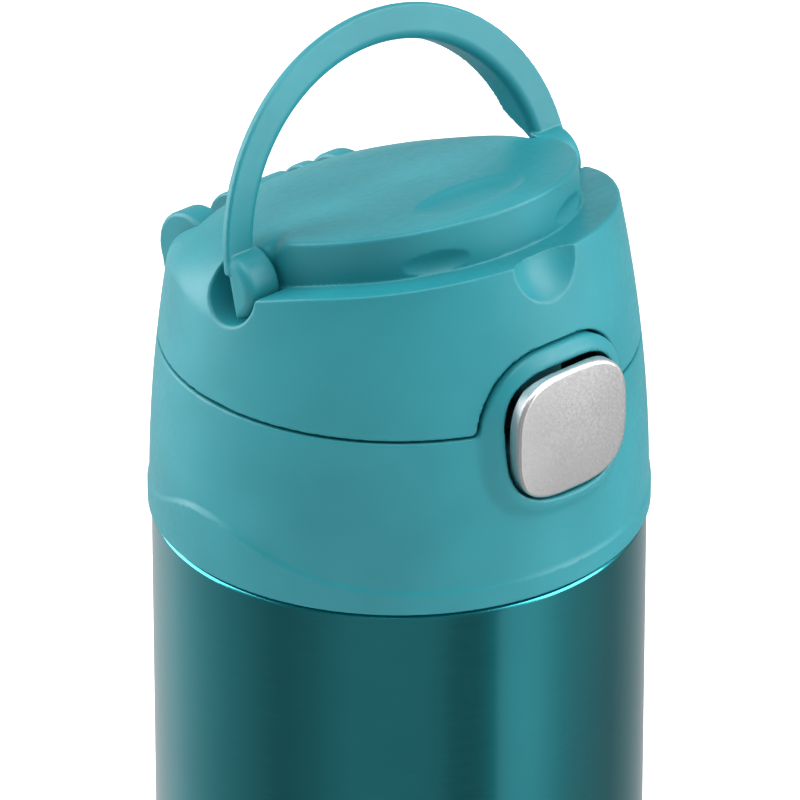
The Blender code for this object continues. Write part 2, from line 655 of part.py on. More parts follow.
def handle():
    teal = material("handle_teal_plastic", (0.07, 0.33, 0.37), 0.42)
    origin = (0.0, HANDLE_Y, HANDLE_Z)
    rings = []
    steps = 36
    for i in range(steps + 1):
        turn = math.radians(5.5 + (180 - 11.0) * i / steps)
        c, s = math.cos(turn), math.sin(turn)
        outer = (HANDLE_HALF_WIDTH * c, HANDLE_RISE * s)
        inner = (HANDLE_INNER_HALF_WIDTH * c, HANDLE_INNER_RISE * s)
        depth = 0.05 + HANDLE_DEPTH * smooth((s * HANDLE_RISE - 2.5) / 6)
        near = [o + (n - o) * 0.8 for o, n in zip(outer, inner)]
        ring = [(*outer, HANDLE_FACE), (*outer, -0.05), (*inner, -depth)]
        ring += [(*inner, HANDLE_FACE - 1.1), (*near, HANDLE_FACE)]
        rings.append([handle_point(*p) for p in ring])
    loop = loft("carry_handle", rings, teal, origin=origin)
    parts = []
    for side in (-1, 1):
        half_disc = arc((0, 0), BOSS_RADIUS, -90, 90, 17)
        boss = []
        for x, swell in ((BOSS_INNER_END, 1.0), (29.8, 1.0), (30.6, 0.92), (BOSS_OUTER_END, 0.66)):
            boss.append([handle_point(side * x, v, u * swell) for u, v in half_disc])
        parts.append(loft("boss", boss))
        stub = [(y + HANDLE_Y, z + HANDLE_Z) for y, z in arc((0, 0), 2.0, 0, 340, 18)]
        parts.append(prism("stub", stub, side * 22.8, side * 27.0, "X"))
    combine(loop, parts, "UNION")


clear_scene()
bottle()
lid()
button()
cover()
handle()
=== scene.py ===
"""Looks of the insulated straw bottle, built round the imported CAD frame.

The visible mouldings are drawn as distance fields in millimetres (negative inside), with
their fillets, and turned into fine meshes. Everything rides on the CAD bodies.
"""

import json
import math

import bmesh
import bpy
import numpy as np
from mathutils import Matrix, Vector

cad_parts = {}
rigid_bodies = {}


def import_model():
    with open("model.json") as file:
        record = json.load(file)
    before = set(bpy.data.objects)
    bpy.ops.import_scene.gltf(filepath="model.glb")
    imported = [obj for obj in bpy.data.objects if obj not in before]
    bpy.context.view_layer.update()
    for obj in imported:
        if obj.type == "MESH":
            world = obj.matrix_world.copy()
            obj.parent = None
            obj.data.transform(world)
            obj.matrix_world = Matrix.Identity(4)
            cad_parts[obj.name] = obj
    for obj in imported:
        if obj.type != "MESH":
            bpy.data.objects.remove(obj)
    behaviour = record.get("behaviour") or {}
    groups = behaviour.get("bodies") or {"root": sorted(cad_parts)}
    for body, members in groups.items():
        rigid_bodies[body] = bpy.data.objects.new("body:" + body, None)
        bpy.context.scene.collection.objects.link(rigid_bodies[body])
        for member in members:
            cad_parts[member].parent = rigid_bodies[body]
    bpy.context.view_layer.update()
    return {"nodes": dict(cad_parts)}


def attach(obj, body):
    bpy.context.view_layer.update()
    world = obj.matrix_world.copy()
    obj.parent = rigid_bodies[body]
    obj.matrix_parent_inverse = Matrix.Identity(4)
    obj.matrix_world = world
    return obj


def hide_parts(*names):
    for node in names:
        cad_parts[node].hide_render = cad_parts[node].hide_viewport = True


MM = 0.001

# seam, skirt and bezel
COLLAR_BOTTOM = 137.06
COLLAR_BORE = 32.75
COLLAR_WALL = 1.5
SKIRT_RADIUS = 35.65
SKIRT_LIMIT = 35.57
SEAM = 163.1
SEAM_GAP = 0.4
ARCH_HALF_WIDTH = 13.5
ARCH_HEIGHT = 10.6
ARCH_POWER = 1 / 0.61
BUTTON_Z = 161.65
BUTTON_HALF_WIDTH = 10.0
BUTTON_HALF_HEIGHT = 9.25
BUTTON_GAP = 0.43
BEZEL_RISE = 1.25

# hinge at the back
HINGE_Y = 24.0
HINGE_Z = 172.2
BARREL_RADIUS = 6.1
PIN_HOLE_RADIUS = 2.0
PIN_HOLE_LEFT = -18.0
REAR_WALL_TOP = 170.0
SHELF_FRONT = 17.3
SHELF_RADIUS = 33.0
SHELF_LOW, SHELF_HIGH = 159.7, 163.05
FOOT_LOW = 161.9
LID_KNUCKLES = ((-18.5, -14.0, 0.7), (9.2, 14.0, 2.2))  # left, right, rounding of the right end
COVER_KNUCKLES = ((-9.3, 1.5), (4.0, 6.5))
NOTCH_LEFT, NOTCH_RIGHT = -18.9, 14.4

# cover
DISC_HALF_WIDTH = 25.7
DISC_REACH = 24.9
COVER_WALL = 2.1
RIM_BLEND = 9.7
REAR_BLEND_UP = 5.6
REAR_BLEND_IN = 14.9
THUMB_Y = -14.5
THUMB_HALF_WIDTH = 9.4
THUMB_REACH = 4.7
SCOOP_CENTRE = (0.0, -37.2, 187.3)
SCOOP_RADIUS = 9.4
POCKET_RADIUS = 5.1
POCKET_START = 25.5

# carry handle
HANDLE_Y = 0.35
HANDLE_Z = 180.2
HANDLE_LEAN = math.radians(13.6)
HANDLE_HALF_WIDTH = 31.6
HANDLE_RISE = 30.5
HANDLE_INNER_HALF_WIDTH = 26.4
HANDLE_INNER_RISE = 25.3
HANDLE_FACE = 1.2
HANDLE_DEPTH = 4.3
BOSS_RADIUS = 4.7
BOSS_INNER_END = 25.9
BOSS_OUTER_END = 31.3
STUB_RADIUS = 2.0

# cover lining and its hook
FLANGE_RADIUS = 30.0
FLANGE_BACK = 12.2
FLANGE_LOW, FLANGE_HIGH = 169.6, 171.1
HAT_RADIUS, HAT_TOP = 12.0, 180.0
HAT_ROOM_RADIUS, HAT_ROOM_TOP = 10.4, 178.4
HOOK_HALF_WIDTH = 4.0

# push button
BUTTON_GROW = 0.13
BUTTON_FRONT = 36.33
BUTTON_BOW = 0.4
CORE_RADIUS = 32.6
PUSH_ROOM = 2.1

SPOUT_Y = -5.0

# camera, fitted to the view
VIEW_AZIMUTH = math.radians(-41.9)
VIEW_ELEVATION = math.radians(28.0)
VIEW_DISTANCE = 1.288
VIEW_HEIGHT = 0.152
LENS = 412.3


# ---------------------------------------------------------------- fields


def smooth(t):
    t = np.clip(t, 0.0, 1.0)
    return t * t * (3 - 2 * t)


def both(a, b, radius):
    """Where two fields meet in a convex edge rounded to this radius."""
    u, v = np.maximum(a + radius, 0), np.maximum(b + radius, 0)
    return np.minimum(-radius, np.maximum(a, b)) + np.hypot(u, v)


def either(a, b, radius):
    """Two fields joined, with a concave fillet of this radius."""
    return -both(-a, -b, radius)


def cut(a, b, radius):
    """a without b, its new edge rounded to this radius."""
    return both(a, -b, radius)


def between(value, low, high):
    return np.maximum(low - value, value - high)


def shell_radius(z):
    return 35.3 - 5.0 * np.maximum(0.0, (z - 139.0) / 47.0) ** 1.95


def wave(angle):
    degrees = np.abs(np.degrees(angle))
    spread = np.where(degrees < 93, 18.6, 14.3)
    return 140.3 + 6.05 * np.exp(-0.5 * ((degrees - 93) / spread) ** 2)


def top_plane(x, y):
    return 185.7 - 0.258 * y + 0.7 * (1 - (x * x + y * y) / 676.0)


def ledge(y):
    reach = np.maximum(0.0, -y)
    return 180.0 + 0.205 * reach - 0.9 * (1 - smooth(reach / 14.0))


def squircle(x, z, grow=0.0):
    """(share of the way to the button's outline, distance from it)."""
    width, height = BUTTON_HALF_WIDTH + grow, BUTTON_HALF_HEIGHT + grow
    u, v = np.abs(x) / width, np.abs(z - BUTTON_Z) / height
    reach = np.maximum((u**3 + v**3) ** (1 / 3), 1e-6)
    steep = np.hypot((u / reach) ** 2 / width, (v / reach) ** 2 / height)
    return reach, (reach - 1) / np.maximum(steep, 0.02)


def seam_side(x, y, z):
    """Negative on the collar's side of the split, which arches over the button."""
    along = np.abs(np.arctan2(x, -y)) * shell_radius(SEAM)
    a = along / ARCH_HALF_WIDTH
    b = np.maximum(z - SEAM, 0) / ARCH_HEIGHT
    steep = np.hypot(3 * a**2 / ARCH_HALF_WIDTH, ARCH_POWER * b ** (ARCH_POWER - 1) / ARCH_HEIGHT)
    arch = (a**3 + b**ARCH_POWER - 1) / np.maximum(steep, 0.06)
    return either(z - SEAM, arch, 1.0)


def barrel_side(y, z, radius=BARREL_RADIUS):
    return np.hypot(y - HINGE_Y, z - HINGE_Z) - radius


def collar_field(x, y, z):
    r = np.hypot(x, y)
    angle = np.arctan2(x, -y)
    reach, window = squircle(x, z, BUTTON_GAP)
    front = y < -12
    rise = np.where(front, BEZEL_RISE * (1 - smooth((reach - 1.06) / 0.27)), 0.0)
    body = (r - shell_radius(z) - rise) * 0.985
    band = both(r - SKIRT_RADIUS, (z - wave(angle)) * 0.96, 0.6)
    out = np.maximum(either(body, band, 0.7), np.where(z < 150, r - SKIRT_LIMIT, -1.0))
    rear_wall = np.maximum(z - REAR_WALL_TOP, between(x, -18.2, 13.9))
    rear_wall = np.maximum(rear_wall, SHELF_FRONT - y)
    top = np.minimum(seam_side(x, y, z), rear_wall)
    out = both(out, top, 0.28)
    out = both(out, COLLAR_BOTTOM - z, 0.5)
    out = cut(out, r - np.minimum(COLLAR_BORE, shell_radius(z) - COLLAR_WALL), 0.2)
    out = np.where(front, cut(out, window, 0.4), out)
    shelf = np.maximum(SHELF_FRONT - y, r - SHELF_RADIUS)
    shelf = np.maximum(shelf, between(z, SHELF_LOW, SHELF_HIGH))
    out = np.minimum(out, shelf)
    foot_back = 28.0 + (z - FOOT_LOW) * 0.2
    foot = np.maximum(between(z, FOOT_LOW, HINGE_Z), between(y, HINGE_Y - BARREL_RADIUS, foot_back))
    knuckle = np.minimum(barrel_side(y, z), foot)
    for low, high, ease in LID_KNUCKLES:
        out = either(out, both(both(knuckle, x - high, ease), low - x, 0.7), 0.3)
    return np.where(x > PIN_HOLE_LEFT, cut(out, barrel_side(y, z, PIN_HOLE_RADIUS), 0.1), out)


def shoulder(shell, top, y):
    """The rear rounding, which grows longer and lower towards the hinge."""
    rear = smooth((y - 2) / 16)
    high = RIM_BLEND + (REAR_BLEND_UP - RIM_BLEND) * rear
    wide = RIM_BLEND + (REAR_BLEND_IN - RIM_BLEND) * rear
    u, v = np.maximum(top / high + 1, 0), np.maximum(shell / wide + 1, 0)
    reach = np.maximum(np.hypot(u, v), 1e-6)
    steep = np.hypot(u / high, v / wide) / reach
    return np.where((u > 0) & (v > 0), (reach - 1) / np.maximum(steep, 0.02), np.maximum(top, shell))


def cover_base(x, y, z):
    """The cover before its pockets: a stepped disc in front, a round shoulder behind."""
    r = np.hypot(x, y)
    shell = (r - shell_radius(z)) * 0.985
    dip = 1 - (x / THUMB_HALF_WIDTH) ** 2 - ((y - THUMB_Y) / THUMB_REACH) ** 2
    dip = 0.5 * (np.sqrt(dip * dip + 0.006) + dip)
    dip = dip * (2 - dip)
    top = (z - top_plane(x, y) + np.where(dip > 0.004, dip, 0)) * 0.97
    step = ledge(y)
    wall = (np.hypot(x / DISC_HALF_WIDTH, y / DISC_REACH) - 1) * 25.3
    wall = wall + 0.5 * np.clip((z - step) / 6.0, 0, 1)
    for side in (-1, 1):
        turn = side * math.radians(30)
        across = (x * math.cos(turn) + y * math.sin(turn)) / 4.8
        up = (z - step - 1.75) / 1.7
        hollow = 1 - across**2 - up**2
        hollow = 0.5 * (np.sqrt(hollow * hollow + 0.01) + hollow)
        wall = wall + np.where((y < 0) & (hollow > 0.004), 0.75 * hollow, 0)
    round_off = 0.6 + 4.2 * smooth(1 + y / 5)
    disc = both(wall, top, round_off)
    front = either(both(shell, z - step, 0.35), disc, 0.3)
    rear = smooth((y - HANDLE_Y + 3.0) / 3.0)
    return front * (1 - rear) + shoulder(shell, top, y) * rear


def pocket_field(x, y, z, grow=0.0):
    round_part = np.hypot(y - HANDLE_Y, z - HANDLE_Z) - POCKET_RADIUS
    open_part = np.maximum(y - HANDLE_Y - 2.0, np.maximum(182.0 - z, -5.0 - y))
    return np.maximum(POCKET_START - np.abs(x), np.minimum(round_part, open_part)) - grow


def scoop_field(x, y, z):
    a, b, c = SCOOP_CENTRE
    return np.sqrt((x - a) ** 2 + (y - b) ** 2 + (z - c) ** 2) - SCOOP_RADIUS


def cover_field(x, y, z):
    base = cover_base(x, y, z)
    room = np.maximum(base + COVER_WALL, -pocket_field(x, y, z, COVER_WALL))
    room = np.maximum(room, -(scoop_field(x, y, z) - COVER_WALL))
    out = cut(base, pocket_field(x, y, z), 0.45)
    out = cut(out, scoop_field(x, y, z), 0.18)
    out = both(out, SEAM_GAP - seam_side(x, y, z), 0.28)
    out = cut(out, room, 0.3)
    notch = np.minimum(barrel_side(y, z, BARREL_RADIUS + 0.5), np.maximum(SHELF_FRONT - y, z - HINGE_Z))
    notch = np.maximum(np.minimum(notch, HINGE_Y - y), between(x, NOTCH_LEFT, NOTCH_RIGHT))
    out = cut(out, notch, 0.5)
    lift = np.interp(y, (15.0, 24.0, 27.0, 40.0), (163.45, 163.7, 165.2, 168.6))
    out = cut(out, np.maximum(15.0 - y, z - lift), 0.3)
    roof = np.interp(y, (11.5, 16.0, 20.5, 24.2), (181.4, 180.2, 178.3, 178.3))
    sole = np.interp(y, (11.5, 17.9), (177.6, 171.1))
    arm = np.maximum(between(y, 11.5, 24.2), between(z, sole, roof) * 0.8)
    knuckle = either(barrel_side(y, z), arm, 0.6)
    for low, high in COVER_KNUCKLES:
        out = either(out, both(knuckle, between(x, low, high), 0.4), 0.3)
    stub_hole = np.maximum(
        np.hypot(y - HANDLE_Y, z - HANDLE_Z) - 2.4, between(np.abs(x), 20.0, 27.0)
    )
    out = np.maximum(out, -stub_hole)
    bored = cut(out, barrel_side(y, z, PIN_HOLE_RADIUS), 0.1)
    return np.where(between(x, -12.0, 8.0) < 0, bored, out)


def liner_field(x, y, z):
    r = np.hypot(x, y)
    flange = both(r - FLANGE_RADIUS, y - FLANGE_BACK, 0.4)
    flange = both(flange, between(z, FLANGE_LOW, FLANGE_HIGH), 0.3)
    out_hat = np.hypot(x, y - SPOUT_Y)
    hat = both(out_hat - HAT_RADIUS, z - HAT_TOP, 1.0)
    hat = np.maximum(hat, 170.3 - z)
    out = either(flange, hat, 0.5)
    out = cut(out, np.maximum(out_hat - HAT_ROOM_RADIUS, z - HAT_ROOM_TOP), 0.3)
    across = np.abs(x) - HOOK_HALF_WIDTH
    stem = both(across, both(between(y, -29.2, -27.8), between(z, 161.4, 170.5), 0.2), 0.3)
    barb = both(across, both(between(y, -28.5, -25.2), between(z, 161.4, 162.6), 0.3), 0.3)
    return np.minimum(out, np.minimum(stem, barb))


def handle_field(x, y, z):
    dy, dz = y - HANDLE_Y, z - HANDLE_Z
    rise = dy * math.sin(HANDLE_LEAN) + dz * math.cos(HANDLE_LEAN)
    ahead = -dy * math.cos(HANDLE_LEAN) + dz * math.sin(HANDLE_LEAN)
    outer = (np.hypot(x / HANDLE_HALF_WIDTH, rise / HANDLE_RISE) - 1) * 31.0
    inner = (1 - np.hypot(x / HANDLE_INNER_HALF_WIDTH, rise / HANDLE_INNER_RISE)) * 25.8
    depth = HANDLE_DEPTH * smooth((rise - 2.5) / 6)
    back = -(ahead + 0.05 + depth * np.clip(-outer / 5.2, 0, 1)) * 0.8
    loop = both(outer, ahead - HANDLE_FACE, 0.45)
    loop = both(loop, inner, 1.5)
    loop = both(loop, back, 0.3)
    loop = np.maximum(loop, 2.0 - rise)
    boss = both(np.hypot(rise, ahead) - BOSS_RADIUS, -ahead, 0.3)
    boss = both(both(boss, np.abs(x) - BOSS_OUTER_END, 1.4), BOSS_INNER_END - np.abs(x), 0.25)
    out = either(loop, boss, 0.2)
    stub = np.maximum(np.hypot(dy, dz) - STUB_RADIUS, between(np.abs(x), 22.8, 27.0))
    return np.minimum(out, stub)


def button_field(x, y, z):
    reach, side = squircle(x, z, BUTTON_GROW)
    face = -y - (BUTTON_FRONT - BUTTON_BOW * reach**2)
    back = y + PUSH_ROOM + np.sqrt(CORE_RADIUS**2 - x * x)
    return both(both(side, face, 0.55), back, 0.15)


# ---------------------------------------------------------------- meshes


CORNERS = [(i, j, k) for i in (0, 1) for j in (0, 1) for k in (0, 1)]
EDGES = [
    (a, b)
    for a in CORNERS
    for b in CORNERS
    if sum(b) - sum(a) == 1 and min(np.subtract(b, a)) == 0
]


def sample(field, low, counts, step):
    """The field at every grid point, a few layers at a time."""
    xs, ys, zs = (low[i] + step * np.arange(counts[i]) for i in range(3))
    values = np.empty(counts, np.float32)
    for first in range(0, counts[0], 16):
        part = xs[first : first + 16, None, None]
        shape = (len(part), counts[1], counts[2])
        values[first : first + 16] = np.broadcast_to(
            field(part, ys[None, :, None], zs[None, None, :]), shape
        )
    return values


def gradient(field, points, reach=0.02):
    parts = []
    for axis in range(3):
        step = np.zeros(3)
        step[axis] = reach
        parts.append(field(*(points + step).T) - field(*(points - step).T))
    return np.stack(parts, 1) / (2 * reach)


def settle(field, points, step, rounds=3):
    """Moves points onto the surface, never by more than a part of a cell."""
    for _ in range(rounds):
        slope = gradient(field, points)
        size = np.maximum((slope**2).sum(1), 0.05)
        move = -slope * (field(*points.T) / size)[:, None]
        length = np.linalg.norm(move, axis=1)
        points = points + move * np.minimum(1, 0.5 * step / np.maximum(length, 1e-9))[:, None]
    return points


def surface_net(field, low, high, step):
    """A quad mesh of the surface where the field is zero."""
    low = np.array(low, float)
    counts = np.ceil((np.array(high) - low) / step).astype(int) + 1
    values = sample(field, low, counts, step)
    inside = values < 0
    nx, ny, nz = counts - 1
    filled = sum(
        inside[i : i + nx, j : j + ny, k : k + nz].astype(np.int8) for i, j, k in CORNERS
    )
    cells = np.argwhere((filled > 0) & (filled < 8))
    number = np.full(filled.shape, -1, np.int64)
    number[tuple(cells.T)] = np.arange(len(cells))
    total, crossings = np.zeros((len(cells), 3)), np.zeros(len(cells))
    for a, b in EDGES:
        fa = values[tuple((cells + a).T)].astype(float)
        fb = values[tuple((cells + b).T)].astype(float)
        crossed = (fa < 0) != (fb < 0)
        share = np.where(crossed, fa / np.where(crossed, fa - fb, 1), 0)
        total += np.where(crossed[:, None], a + share[:, None] * np.subtract(b, a), 0)
        crossings += crossed
    points = low + step * (cells + total / crossings[:, None])
    faces = []
    for axis in range(3):
        u, v = (axis + 1) % 3, (axis + 2) % 3
        ahead = [slice(None)] * 3
        behind = [slice(None)] * 3
        ahead[axis], behind[axis] = slice(1, None), slice(None, -1)
        first, second = inside[tuple(behind)], inside[tuple(ahead)]
        edges = np.argwhere(first != second)
        edges = edges[(edges[:, u] > 0) & (edges[:, v] > 0)]
        edges = edges[(edges[:, u] < counts[u] - 1) & (edges[:, v] < counts[v] - 1)]
        outward = first[tuple(edges.T)]
        corners = []
        for du, dv in ((-1, -1), (0, -1), (0, 0), (-1, 0)):
            cell = edges.copy()
            cell[:, u] += du
            cell[:, v] += dv
            corners.append(number[tuple(cell.T)])
        quads = np.stack(corners, 1)
        faces.append(np.where(outward[:, None], quads, quads[:, ::-1]))
    faces = np.concatenate(faces)
    points = settle(field, points, step)
    ends = np.concatenate([faces[:, [i, (i + 1) % 4]] for i in range(4)])
    degree = np.maximum(np.bincount(ends[:, 0], minlength=len(points)), 1)
    for _ in range(2):
        mean = np.stack(
            [np.bincount(ends[:, 0], points[ends[:, 1], i], len(points)) for i in range(3)], 1
        )
        points = settle(field, 0.5 * points + 0.5 * mean / degree[:, None], step, 2)
    return points, faces


def place(obj, body, slot, material, *nodes):
    """Gives a piece its finish, its body and the CAD nodes that it stands for."""
    bpy.context.scene.collection.objects.link(obj)
    obj.data.materials.append(material)
    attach(obj, body)
    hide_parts(*nodes)
    return obj


def moulding(name, field, low, high, step, *finish):
    """A fine mesh of a field, shaded by the field's own slope."""
    points, faces = surface_net(field, low, high, step)
    mesh = bpy.data.meshes.new(name)
    mesh.vertices.add(len(points))
    mesh.vertices.foreach_set("co", (points * MM).astype(np.float32).ravel())
    mesh.loops.add(faces.size)
    mesh.loops.foreach_set("vertex_index", faces.astype(np.int32).ravel())
    mesh.polygons.add(len(faces))
    mesh.polygons.foreach_set("loop_start", np.arange(0, faces.size, 4, dtype=np.int32))
    mesh.update(calc_edges=True)
    mesh.validate()
    mesh.shade_smooth()
    slope = gradient(field, points)
    slope /= np.maximum(np.linalg.norm(slope, axis=1), 1e-9)[:, None]
    mesh.normals_split_custom_set_from_vertices(slope.astype(np.float32))
    return place(bpy.data.objects.new(name, mesh), *finish)


def arc(centre, radius, start, end, count):
    turns = np.radians(np.linspace(start, end, count))
    return [(centre[0] + radius * math.cos(t), centre[1] + radius * math.sin(t)) for t in turns]


def spin_mesh(profile, centre=(0.0, 0.0), steps=192):
    """(points, faces) of a closed (radius, height) profile turned about a vertical line."""
    points, index = [], []
    for radius, height in profile:
        count = steps if radius > 0 else 1
        index.append([len(points) + i for i in range(count)])
        for i in range(count):
            turn = 2 * math.pi * i / steps
            x, y = centre[0] + radius * math.cos(turn), centre[1] + radius * math.sin(turn)
            points.append((x, y, height))
    faces = []
    for low, high in zip(index, index[1:] + index[:1]):
        for i in range(steps):
            corners = [low[i % len(low)], low[(i + 1) % len(low)]]
            corners += [high[(i + 1) % len(high)], high[i % len(high)]]
            corners = list(dict.fromkeys(corners))
            if len(corners) > 2:
                faces.append(corners)
    return points, faces


def ridge_mesh(start, root, crest, steps=120, turns=1.5, pitch=4.0):
    """A screw-thread ridge of rounded section."""
    points, faces, count = [], [], int(steps * turns) + 1
    for i in range(count):
        turn, level = 2 * math.pi * i / steps, start + pitch * i / steps
        fade = smooth(min(1.0, i / 14, (count - 1 - i) / 14))
        tip = root + (crest - root) * (0.4 + 0.6 * float(fade))
        for share, lift in ((0, -0.95), (0.75, -0.6), (1, -0.35), (1, 0.35), (0.75, 0.6), (0, 0.95)):
            radius = root + (tip - root) * share
            points.append((radius * math.cos(turn), radius * math.sin(turn), level + lift))
    for i in range(count - 1):
        for j in range(6):
            low, high = i * 6, (i + 1) * 6
            faces.append((low + j, low + (j + 1) % 6, high + (j + 1) % 6, high + j))
    faces += [tuple(range(6)), tuple(range((count - 1) * 6, count * 6))]
    return points, faces


def turned(name, shells, *finish, sharp=32.0):
    """One object from several (points, faces) shells, with outward normals."""
    points, faces = [], []
    for more_points, more_faces in shells:
        faces += [[len(points) + i for i in face] for face in more_faces]
        points += list(more_points)
    mesh = bpy.data.meshes.new(name)
    mesh.from_pydata([tuple(c * MM for c in p) for p in points], [], faces)
    work = bmesh.new()
    work.from_mesh(mesh)
    bmesh.ops.recalc_face_normals(work, faces=work.faces)
    work.to_mesh(mesh)
    work.free()
    mesh.shade_smooth()
    mesh.set_sharp_from_angle(angle=math.radians(sharp))
    return place(bpy.data.objects.new(name, mesh), *finish)


# ---------------------------------------------------------------- materials


class Nodes:
    """A material's node tree, with short calls for what the finishes share."""

    def __init__(self, name, **sockets):
        self.material = bpy.data.materials.new(name)
        self.material.use_nodes = True
        self.tree = self.material.node_tree
        self.shader = self.tree.nodes["Principled BSDF"]
        for socket, value in sockets.items():
            self.shader.inputs[socket.replace("_", " ")].default_value = value
        coordinates = self.tree.nodes.new("ShaderNodeTexCoord")
        self.place = coordinates.outputs["Object"]

    def link(self, source, node, socket):
        self.tree.links.new(source, node.inputs[socket])

    def noise(self, scale, detail=3.0, stretch=(1, 1, 1)):
        mapping = self.tree.nodes.new("ShaderNodeMapping")
        mapping.inputs["Scale"].default_value = stretch
        self.link(self.place, mapping, "Vector")
        node = self.tree.nodes.new("ShaderNodeTexNoise")
        node.inputs["Scale"].default_value = scale
        node.inputs["Detail"].default_value = detail
        self.link(mapping.outputs["Vector"], node, "Vector")
        return node.outputs["Fac"]

    def spread(self, source, low, high, source_low=0.3, source_high=0.7):
        node = self.tree.nodes.new("ShaderNodeMapRange")
        for socket, value in (
            ("From Min", source_low), ("From Max", source_high), ("To Min", low), ("To Max", high)
        ):
            node.inputs[socket].default_value = value
        self.link(source, node, "Value")
        return node.outputs["Result"]

    def mix(self, share, first, second):
        node = self.tree.nodes.new("ShaderNodeMix")
        node.data_type = "RGBA"
        self.link(share, node, "Factor")
        for socket, colour in ((6, first), (7, second)):
            if isinstance(colour, tuple):
                node.inputs[socket].default_value = (*colour, 1)
            else:
                self.tree.links.new(colour, node.inputs[socket])
        return node.outputs[2]

    def bump(self, height, strength, distance, after=None):
        node = self.tree.nodes.new("ShaderNodeBump")
        node.inputs["Strength"].default_value = strength
        node.inputs["Distance"].default_value = distance
        self.link(height, node, "Height")
        if after is not None:
            self.link(after, node, "Normal")
        return node.outputs["Normal"]

    def set(self, socket, source):
        self.link(source, self.shader, socket)


def satin_plastic(name, colour, roughness, grain=0.00002, specular=0.5):
    """Moulded plastic with a fine spark-eroded grain."""
    made = Nodes(name, Roughness=roughness, Specular_IOR_Level=specular)
    light = tuple(min(1.0, c * 1.10 + 0.006) for c in colour)
    dark = tuple(c * 0.93 for c in colour)
    cloud = made.spread(made.noise(55, 2), 0, 1)
    body = made.mix(cloud, dark, light)
    made.set("Base Color", body)
    made.set("Roughness", made.spread(made.noise(900, 3), roughness - 0.04, roughness + 0.05))
    fine = made.bump(made.noise(5200, 2), 0.5, grain)
    made.set("Normal", made.bump(made.noise(420, 2), 0.12, grain, fine))
    return made.material


def brushed(name, colour, roughness, along=(1, 1, 60)):
    """Metal with fine drawn or turned lines."""
    made = Nodes(name, Metallic=1.0, Anisotropic=0.5)
    lines = made.noise(220, 4, along)
    dark = tuple(c * 0.86 for c in colour)
    made.set("Base Color", made.mix(made.spread(lines, 0, 1), dark, colour))
    made.set("Roughness", made.spread(lines, roughness - 0.06, roughness + 0.08))
    made.set("Normal", made.bump(lines, 0.25, 0.00001))
    return made.material


def lacquered_steel():
    """Clear teal lacquer over steel brushed round the body."""
    made = Nodes(
        "lacquered_steel",
        Metallic=1.0,
        Anisotropic=0.6,
        Coat_Weight=0.55,
        Coat_Roughness=0.04,
        Coat_IOR=1.5,
    )
    lines = made.noise(150, 5, (1, 1, 55))
    cloud = made.noise(26, 3)
    deep, clear = (0.010, 0.25, 0.29), (0.016, 0.30, 0.345)
    tint = made.mix(made.spread(cloud, 0, 1), deep, clear)
    made.set("Base Color", made.mix(made.spread(lines, 0, 0.35), tint, (0.03, 0.35, 0.40)))
    made.set("Roughness", made.spread(lines, 0.17, 0.25))
    made.set("Normal", made.bump(lines, 0.05, 0.00001))
    peel = made.bump(made.noise(380, 2), 0.04, 0.00002)
    made.link(peel, made.shader, "Coat Normal")
    return made.material


def satin_silver():
    """Satin plating on the push button."""
    made = Nodes("satin_silver", Metallic=1.0)
    fine = made.noise(2600, 3)
    cloud = made.spread(made.noise(60, 2), 0, 1)
    made.set("Base Color", made.mix(cloud, (0.80, 0.80, 0.81), (0.87, 0.87, 0.88)))
    made.set("Roughness", made.spread(fine, 0.30, 0.40))
    made.set("Normal", made.bump(fine, 0.2, 0.00001))
    return made.material


def silicone():
    """Milky silicone with a soft skin."""
    made = Nodes("silicone", Roughness=0.42, Transmission_Weight=0.25, Subsurface_Weight=0.4, IOR=1.41)
    made.shader.inputs["Subsurface Radius"].default_value = (0.004, 0.004, 0.004)
    cloud = made.spread(made.noise(90, 3), 0, 1)
    made.set("Base Color", made.mix(cloud, (0.66, 0.71, 0.71), (0.78, 0.82, 0.82)))
    made.set("Roughness", made.spread(made.noise(800, 2), 0.36, 0.50))
    made.set("Normal", made.bump(made.noise(1800, 2), 0.25, 0.00002))
    return made.material


def straw_plastic():
    made = Nodes("straw_plastic", Roughness=0.25, Transmission_Weight=0.35, IOR=1.49)
    cloud = made.spread(made.noise(70, 2), 0, 1)
    made.set("Base Color", made.mix(cloud, (0.74, 0.79, 0.79), (0.84, 0.88, 0.88)))
    made.set("Roughness", made.spread(made.noise(600, 2, (1, 1, 0.1)), 0.2, 0.32))
    return made.material


def mottled(name, first, second, roughness, metallic, scale=300, depth=0.00003):
    """A plain finish with small changes of colour, gloss and height."""
    made = Nodes(name, Metallic=metallic)
    spots = made.noise(scale, 4)
    made.set("Base Color", made.mix(made.spread(spots, 0, 1), first, second))
    made.set("Roughness", made.spread(spots, roughness - 0.06, roughness + 0.08))
    made.set("Normal", made.bump(spots, 0.3, depth))
    return made.material


# ---------------------------------------------------------------- pieces


def outer_skin():
    """The body's outside from the foot to the neck, closed through the wall."""
    profile = arc((32.2, 3.2), 2.8, -90, 0, 14)
    profile += arc((34.3, 135.9), 0.7, 0, 90, 8)
    profile += [(29.9, 136.6), (29.35, 136.75), (29.2, 137.3)]
    profile += [(29.2, 153.5), (29.05, 153.9), (28.6, 153.9), (28.6, 136.4)]
    profile += [(29.5, 136.0), (33.4, 136.0), (34.4, 135.0), (34.4, 3.4)]
    return profile + [(33.6, 1.6), (31.9, 1.0), (31.9, 0.4)]


